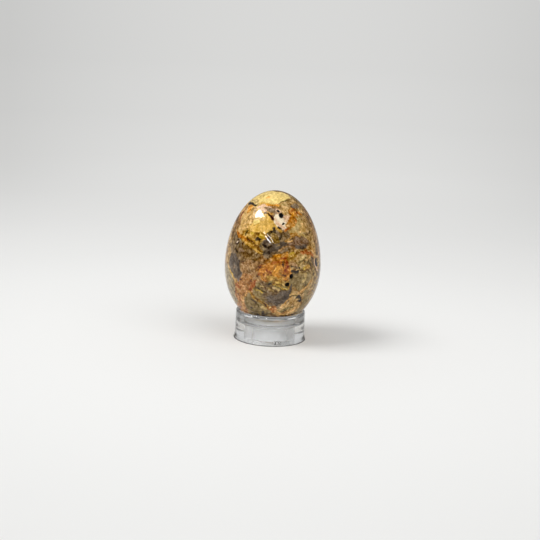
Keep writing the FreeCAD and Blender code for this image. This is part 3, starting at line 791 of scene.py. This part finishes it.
def sink_pits(points):
    """Presses the pits into the points. Returns the points and how deep each lies, from 0 to 1."""
    normals = outward(points)
    sunk = points.copy()
    share = np.zeros(len(points))
    for (x, y), across, along, deep, lean in PITS:
        mouth = cast(x, y)
        out = outward(mouth[None])[0]
        side = np.cross([0.0, 0.0, 1.0], out)
        side /= np.linalg.norm(side)
        up = np.cross(out, side)
        angle = math.radians(lean)
        one = side * math.cos(angle) + up * math.sin(angle)
        two = up * math.cos(angle) - side * math.sin(angle)
        away = warp(points, 1.1, 0.16, 51) - mouth
        round_share = np.hypot(away @ one / across, away @ two / along)
        round_share = np.where(np.linalg.norm(away, axis=1) < 3 * max(across, along), round_share, 9.0)
        hollow = np.sqrt(np.clip(1.0 - round_share**2, 0.0, 1.0)) ** 0.7
        sunk -= normals * (hollow * deep)[:, None]
        share = np.maximum(share, hollow)
    return sunk, share


def make_egg():
    """The stone egg, with its pits pressed in and its colours painted on."""
    sphere, faces = egg_grid(FULL_GRID)
    half = np.where(sphere[:, 2] >= 0, EGG_UP, EGG_DOWN)
    points = sphere * np.stack([np.full(len(half), EGG_RADIUS)] * 2 + [half], axis=1)
    points[:, 2] += EGG_MIDDLE
    sunk, pit_share = sink_pits(points)
    egg = new_mesh_object("agate_stone", sunk * MM, faces)
    colours = stone_colours(points)
    tint = egg.data.attributes.new("stone_tint", "FLOAT_COLOR", "POINT")
    tint.data.foreach_set("color", colours.astype(np.float32).ravel())
    pit = egg.data.attributes.new("pit", "FLOAT", "POINT")
    pit.data.foreach_set("value", pit_share.astype(np.float32))
    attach(egg, "egg")
    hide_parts("agate_egg")
    egg.data.materials.append(stone())


# ---------------------------------------------------------------- materials
PLASTIC_IOR = 1.49
STONE_IOR = 1.54


def new_material(name):
    material = bpy.data.materials.new(name)
    material.use_nodes = True
    nodes, links = material.node_tree.nodes, material.node_tree.links
    return material, nodes, links, nodes["Principled BSDF"]


def clear_plastic():
    """Clear moulded plastic with fine scuffs, satin where the ring's attribute says so."""
    material, nodes, links, shader = new_material("clear_plastic")
    g = Graph(nodes, links)
    place = nodes.new("ShaderNodeTexCoord").outputs["Object"]
    scuff = g.step(g.noise(place, 420.0, 4.0, 0.6, 0.8), 0.5, 0.75)
    rough = g.math("MULTIPLY_ADD", scuff, 0.03, 0.02)
    rough = g.math("MULTIPLY_ADD", g.attribute("satin"), 0.5, rough)
    links.new(rough, shader.inputs["Roughness"])
    ripple = g.noise(place, 260.0, 2.0, 0.5)
    links.new(g.bump(ripple, 0.12, 0.0003), shader.inputs["Normal"])
    shader.inputs["Base Color"].default_value = (0.86, 0.87, 0.87, 1.0)
    shader.inputs["IOR"].default_value = PLASTIC_IOR
    shader.inputs["Transmission Weight"].default_value = 1.0
    return material


def torn_plastic():
    """The same plastic where it was torn off: rough, with white stress marks."""
    material, nodes, links, shader = new_material("torn_plastic")
    g = Graph(nodes, links)
    place = nodes.new("ShaderNodeTexCoord").outputs["Object"]
    crack = g.step(g.noise(place, 1500.0, 3.0, 0.7, 0.5), 0.42, 0.58)
    links.new(g.mix(crack, (0.06, 0.06, 0.06), (1.0, 1.0, 1.0)), shader.inputs["Base Color"])
    links.new(g.math("MULTIPLY_ADD", crack, 0.4, 0.1), shader.inputs["Roughness"])
    links.new(g.bump(crack, 0.6, 0.0002), shader.inputs["Normal"])
    shader.inputs["IOR"].default_value = PLASTIC_IOR
    shader.inputs["Transmission Weight"].default_value = 0.35
    return material


class Graph:
    """Short calls for a material's nodes. An input may be a number, a colour or another output."""

    def __init__(self, nodes, links):
        self.nodes, self.links = nodes, links

    def put(self, socket, value):
        if isinstance(value, bpy.types.NodeSocket):
            self.links.new(value, socket)
        elif isinstance(value, tuple) and socket.type == "RGBA":
            socket.default_value = (*value, 1.0)
        else:
            socket.default_value = value

    def math(self, operation, a, b=0.0, c=0.0):
        node = self.nodes.new("ShaderNodeMath")
        node.operation = operation
        for socket, value in zip(node.inputs, (a, b, c)):
            self.put(socket, value)
        return node.outputs["Value"]

    def vector(self, operation, a, b):
        node = self.nodes.new("ShaderNodeVectorMath")
        node.operation = operation
        self.put(node.inputs[0], a)
        self.put(node.inputs["Scale" if operation == "SCALE" else 1], b)
        return node.outputs["Vector"]

    def noise(self, place, scale, detail=2.0, rough=0.5, distortion=0.0):
        node = self.nodes.new("ShaderNodeTexNoise")
        self.put(node.inputs["Vector"], place)
        names = ("Scale", "Detail", "Roughness", "Distortion")
        for name, value in zip(names, (scale, detail, rough, distortion)):
            self.put(node.inputs[name], value)
        return node.outputs["Fac"]

    def step(self, value, low, high, to_low=0.0, to_high=1.0):
        node = self.nodes.new("ShaderNodeMapRange")
        node.interpolation_type = "SMOOTHSTEP"
        for name, given in (
            ("Value", value), ("From Min", low), ("From Max", high), ("To Min", to_low), ("To Max", to_high)
        ):
            self.put(node.inputs[name], given)
        return node.outputs["Result"]

    def mix(self, share, a, b, blend="MIX"):
        node = self.nodes.new("ShaderNodeMix")
        node.data_type = "RGBA"
        node.blend_type = blend
        self.put(node.inputs["Factor"], share)
        sockets = [x for x in node.inputs if x.type == "RGBA"]
        self.put(sockets[0], a)
        self.put(sockets[1], b)
        return next(x for x in node.outputs if x.type == "RGBA")

    def gamma(self, colour, power):
        node = self.nodes.new("ShaderNodeGamma")
        self.put(node.inputs["Color"], colour)
        self.put(node.inputs["Gamma"], power)
        return node.outputs["Color"]

    def bump(self, height, strength, distance):
        node = self.nodes.new("ShaderNodeBump")
        node.inputs["Strength"].default_value = strength
        node.inputs["Distance"].default_value = distance
        self.put(node.inputs["Height"], height)
        return node.outputs["Normal"]

    def attribute(self, name, output="Fac"):
        node = self.nodes.new("ShaderNodeAttribute")
        node.attribute_name = name
        return node.outputs[output]


def stone():
    """Polished agate: the strokes' colours, with lace lines, mottling and grain laid into them."""
    material, nodes, links, shader = new_material("banded_stone")
    g = Graph(nodes, links)
    place = nodes.new("ShaderNodeTexCoord").outputs["Object"]
    tint = g.attribute("stone_tint", "Color")
    lace = g.attribute("stone_tint", "Alpha")
    pit = g.attribute("pit")

    # Lace: contour lines of a slow noise, dark on one side of each band and light on the other.
    slow = g.noise(place, 120.0, 4.0, 0.6, 1.2)
    band = g.math("FRACT", g.math("MULTIPLY", slow, 9.0))
    dark_line = g.step(g.math("ABSOLUTE", g.math("SUBTRACT", band, 0.12)), 0.0, 0.12, 1.0, 0.0)
    light_line = g.step(g.math("ABSOLUTE", g.math("SUBTRACT", band, 0.5)), 0.0, 0.2, 1.0, 0.0)
    patch = g.step(g.noise(place, 150.0, 3.0, 0.6, 0.4), 0.42, 0.58)
    fine = g.noise(place, 520.0, 4.0, 0.62, 1.0)
    mottle = g.noise(place, 620.0, 5.0, 0.7, 0.5)
    speck = g.noise(place, 1150.0, 2.0, 0.6, 0.4)

    # Detail is added to the displayed value, so that it changes the lightness and hardly the hue.
    depth = g.math("MULTIPLY_ADD", lace, 0.75, 0.25)
    swing = g.math("SUBTRACT", g.step(mottle, 0.36, 0.64), 0.5)
    swing = g.math("MULTIPLY_ADD", g.math("SUBTRACT", g.step(speck, 0.32, 0.68), 0.5), 0.8, swing)
    shade = g.math("MULTIPLY", g.math("MULTIPLY", swing, depth), 0.19)
    lines = g.math("MULTIPLY", lace, g.math("MULTIPLY_ADD", patch, 0.8, 0.1))
    shade = g.math("MULTIPLY_ADD", g.math("MULTIPLY", dark_line, lines), -0.2, shade)
    shade = g.math("MULTIPLY_ADD", g.math("MULTIPLY", light_line, lines), 0.1, shade)
    grey = nodes.new("ShaderNodeCombineXYZ")
    for socket in grey.inputs:
        links.new(shade, socket)
    colour = g.vector("ADD", g.gamma(tint, 1 / 2.2), grey.outputs["Vector"])
    colour = g.gamma(g.vector("MAXIMUM", colour, (0.06, 0.05, 0.04)), 2.2)
    # The pits are coloured near black, darkest where they are deepest.
    hollow = g.step(pit, 0.02, 0.35)
    colour = g.mix(hollow, colour, (0.006, 0.004, 0.004))
    links.new(colour, shader.inputs["Base Color"])
    polish = g.math("MULTIPLY_ADD", mottle, 0.04, 0.01)
    links.new(g.math("MULTIPLY_ADD", hollow, 0.85, polish), shader.inputs["Roughness"])
    rough_height = g.math("MULTIPLY", g.noise(place, 2600.0, 2.0), hollow)
    height = g.math("MULTIPLY_ADD", fine, 0.015, rough_height)
    links.new(g.bump(height, 0.5, 0.0002), shader.inputs["Normal"])
    shader.inputs["IOR"].default_value = STONE_IOR
    shader.inputs["Specular IOR Level"].default_value = 0.35
    return material


# ---------------------------------------------------------------- stage and light
# The lines along which the backdrop's painted falloff of light stays the same run out from a point on the
# table this far in front of the object, in metres.
FADE_POINT = 0.52
FLOOR_GAP = 0.05  # millimetres between the ring's foot and the table, so that their faces don't mix

# Painted falloff of light: how light the table is at each distance from the object, in metres, darker
# outwards.
FLOOR_LIGHT_FALLOFF = [
    (0.0, 0.90), (0.1, 0.90), (0.14, 0.88), (0.2, 0.84), (0.315, 0.79), (0.445, 0.755),
    (0.67, 0.72), (1.16, 0.69), (3.0, 0.67),
]

# Painted light and shade on the table under the clear ring: it glows with these tones at each distance in
# metres, bright circles standing in for the lamps' light that the ring's wall gathers and dark ones for the
# shade there.
PAINTED_RING_LIGHT_AND_SHADE = [
    (0.0, 0.72), (0.0088, 0.74), (0.0093, 0.3), (0.0096, 0.05), (0.0099, 0.4), (0.0101, 0.4),
    (0.0103, 0.05), (0.0106, 0.1), (0.0108, 0.45), (0.0111, 0.4), (0.0113, 0.02), (0.0117, 0.02),
    (0.0119, 1.0), (0.0132, 1.0), (0.0134, 0.05), (0.0144, 0.08), (0.0147, 0.4), (0.0151, 0.4),
    (0.0154, 0.06), (0.0161, 0.08),
]


def rings_of_tone(g, reach, stops):
    """A tone for each distance from the object, from (distance, tone) stops."""
    last = stops[-1][0]
    node = g.nodes.new("ShaderNodeValToRGB")
    g.put(node.inputs["Fac"], g.math("MULTIPLY", reach, 1.0 / last))
    elements = node.color_ramp.elements
    while len(elements) > 1:
        elements.remove(elements[0])
    elements[0].position = 0.0
    elements[0].color = (*[stops[0][1]] * 3, 1.0)
    for at, tone in stops[1:]:
        elements.new(at / last).color = (*[tone] * 3, 1.0)
    return node.outputs["Color"]


def painted_side_falloff(g, across, ahead):
    """The backdrop's tone, which falls towards both sides of the view: a painted falloff of light."""
    side = g.math("SUBTRACT", g.math("DIVIDE", across, g.math("MAXIMUM", ahead, 0.2)), 0.01)
    side = g.math("MAXIMUM", g.math("MINIMUM", side, 0.24), -0.24)
    return g.math("MULTIPLY_ADD", g.math("MULTIPLY", side, side), -2.7, 1.03)


def make_floor():
    """The white table, a disc of rings of quads that get wider outwards."""
    rings = [0.0, 0.02, 0.05, 0.1, 0.2, 0.4, 0.8, 1.6, 3.2, 8.0, 20.0]
    around = 64
    points, faces = [(0.0, 0.0, 0.0)], []
    for r in rings[1:]:
        points += [
            (r * math.cos(2 * math.pi * k / around), r * math.sin(2 * math.pi * k / around), 0.0)
            for k in range(around)
        ]
    for k in range(around):
        faces.append((0, 1 + k, 1 + (k + 1) % around))
    for ring in range(len(rings) - 2):
        inner, outer = 1 + ring * around, 1 + (ring + 1) * around
        for k in range(around):
            j = (k + 1) % around
            faces.append((inner + k, outer + k, outer + j, inner + j))
    floor = new_mesh_object("white_table", points, faces)
    floor.location.z = -FLOOR_GAP * MM
    material, nodes, links, shader = new_material("white_table")
    shader.inputs["Roughness"].default_value = 0.6
    shader.inputs["Specular IOR Level"].default_value = 0.1
    g = Graph(nodes, links)
    place = nodes.new("ShaderNodeTexCoord").outputs["Object"]
    split = nodes.new("ShaderNodeSeparateXYZ")
    links.new(place, split.inputs["Vector"])
    across = g.math("MULTIPLY", split.outputs["X"], split.outputs["X"])
    reach = g.math("SQRT", g.math("MULTIPLY_ADD", split.outputs["Y"], split.outputs["Y"], across))
    open_tone = g.mix(1.0, rings_of_tone(g, reach, FLOOR_LIGHT_FALLOFF), (1.0, 1.0, 0.985), "MULTIPLY")
    links.new(open_tone, shader.inputs["Base Color"])
    # Far off, the table is given its look directly, as a glow with its painted falloff of light; under the
    # ring it glows with painted light and shade.
    aside = painted_side_falloff(g, split.outputs["X"], g.math("ADD", split.outputs["Y"], FADE_POINT))
    far = nodes.new("ShaderNodeEmission")
    links.new(g.vector("SCALE", open_tone, aside), far.inputs["Color"])
    mix = nodes.new("ShaderNodeMixShader")
    links.new(g.step(reach, 0.13, 0.6), mix.inputs["Fac"])
    links.new(shader.outputs["BSDF"], mix.inputs[1])
    links.new(far.outputs["Emission"], mix.inputs[2])
    # Painted light and shade: under the ring the table glows with these tones in place of being lit.
    painted_ring_glow = nodes.new("ShaderNodeEmission")
    links.new(rings_of_tone(g, reach, PAINTED_RING_LIGHT_AND_SHADE), painted_ring_glow.inputs["Color"])
    under = nodes.new("ShaderNodeMixShader")
    links.new(g.math("LESS_THAN", reach, PAINTED_RING_LIGHT_AND_SHADE[-1][0]), under.inputs["Fac"])
    links.new(mix.outputs["Shader"], under.inputs[1])
    links.new(painted_ring_glow.outputs["Emission"], under.inputs[2])
    links.new(under.outputs["Shader"], nodes["Material Output"].inputs["Surface"])
    floor.data.materials.append(material)


def make_lamp(name, azimuth, elevation, distance, size, share, aim=(0.0, 0.0, 0.03)):
    """A soft box. Azimuth is from the front towards +X, and share its part of the floor's light."""
    az, el = math.radians(azimuth), math.radians(elevation)
    way = Vector((math.cos(el) * math.sin(az), -math.cos(el) * math.cos(az), math.sin(el)))
    data = bpy.data.lights.new(name, "AREA")
    data.shape = "RECTANGLE"
    data.size, data.size_y = size
    data.energy = share * math.pi**2 * distance**2 / math.sin(el)
    lamp = bpy.data.objects.new(name, data)
    bpy.context.scene.collection.objects.link(lamp)
    lamp.location = Vector(aim) + way * distance
    lamp.rotation_euler = way.to_track_quat("Z", "Y").to_euler()
    lamp.visible_glossy = False
    lamp.visible_transmission = False


def make_glint(name, outline, glow, distance=2.0):
    """A lit panel seen only in the polish. The outline is the pixels of the photograph where it shows."""
    corners = []
    for x, y in outline:
        place = cast(x, y)
        out = outward(place[None])[0]
        ray = place - CAM_PLACE
        ray /= np.linalg.norm(ray)
        corners.append(place * MM + (ray - 2 * (ray @ out) * out) * distance)
    count = len(corners)
    faces = [(i, i + 1, count - 2 - i, count - 1 - i) for i in range(count // 2 - 1)]
    panel = new_mesh_object(name, corners, faces)
    material = bpy.data.materials.new(name)
    material.use_nodes = True
    nodes, links = material.node_tree.nodes, material.node_tree.links
    nodes.remove(nodes["Principled BSDF"])
    light = nodes.new("ShaderNodeEmission")
    light.inputs["Strength"].default_value = glow
    links.new(light.outputs["Emission"], nodes["Material Output"].inputs["Surface"])
    panel.data.materials.append(material)
    panel.visible_camera = False
    panel.visible_diffuse = False
    panel.visible_transmission = False
    panel.visible_shadow = False


def strip(path, half):
    """The outline, in pixels, of a narrow strip along a path."""
    path = np.array(path)
    run = path[-1] - path[0]
    side = np.array([-run[1], run[0]]) / np.linalg.norm(run) * half
    return [*(path + side), *(path - side)[::-1]]


def make_light():
    """The room's light, two soft boxes, and the panels that only the polish mirrors."""
    world = bpy.data.worlds.new("studio")
    bpy.context.scene.world = world
    world.use_nodes = True
    nodes, links = world.node_tree.nodes, world.node_tree.links
    back = nodes["Background"]
    back.inputs["Color"].default_value = (1.0, 1.0, 1.0, 1.0)
    g = Graph(nodes, links)
    path = nodes.new("ShaderNodeLightPath")
    way = nodes.new("ShaderNodeTexCoord").outputs["Generated"]
    split = nodes.new("ShaderNodeSeparateXYZ")
    links.new(way, split.inputs["Vector"])
    # The room is dark where the photographer stands, which the polished stone mirrors.
    mirrored = g.step(split.outputs["Y"], -0.1, 0.8, 0.05, 0.25)
    refracted = g.step(split.outputs["Y"], -0.3, 0.6, 0.05, 0.67)
    level = g.mix(path.outputs["Is Glossy Ray"], (0.47, 0.47, 0.47), mirrored)
    level = g.mix(path.outputs["Is Transmission Ray"], level, refracted)
    # The backdrop seen straight on: a pale tone with the same painted falloff of light towards the sides.
    wall = g.vector("SCALE", (0.67, 0.67, 0.66), painted_side_falloff(g, split.outputs["X"], split.outputs["Y"]))
    level = g.mix(path.outputs["Is Camera Ray"], level, wall)
    links.new(level, back.inputs["Color"])
    make_lamp("left_box", -75.0, 50.0, 3.0, (1.4, 1.1), 0.385)
    make_lamp("right_box", 45.0, 48.0, 4.0, (3.4, 3.4), 0.25)
    make_glint(
        "lamp_mirrored",
        [(258.6, 210.0), (260.6, 209.6), (262.6, 212.8), (264.0, 217.0), (260.4, 217.6), (255.4, 217.8),
         (255.2, 215.6), (256.6, 212.4)],
        28.0,
    )
    make_glint(
        "screen_mirrored",
        [(257.0, 206.5), (262.0, 205.8), (266.5, 210.0), (267.0, 215.5), (264.0, 220.5), (256.0, 221.0),
         (252.5, 218.0), (253.5, 210.5)],
        3.5,
        2.2,
    )
    first_bar = [(263.6, 232.4), (265.6, 236.0), (267.8, 239.2), (270.6, 243.0)]
    second_bar = [(267.0, 234.2), (269.6, 237.0), (271.8, 239.8), (273.6, 242.8)]
    make_glint("window_mirrored_a", strip(first_bar, 0.26), 55.0)
    make_glint("window_mirrored_b", strip(second_bar, 0.2), 45.0)


make_camera()
make_ring()
make_gate()
make_egg()
make_floor()
make_light()
bpy.context.scene.view_settings.view_transform = "Standard"
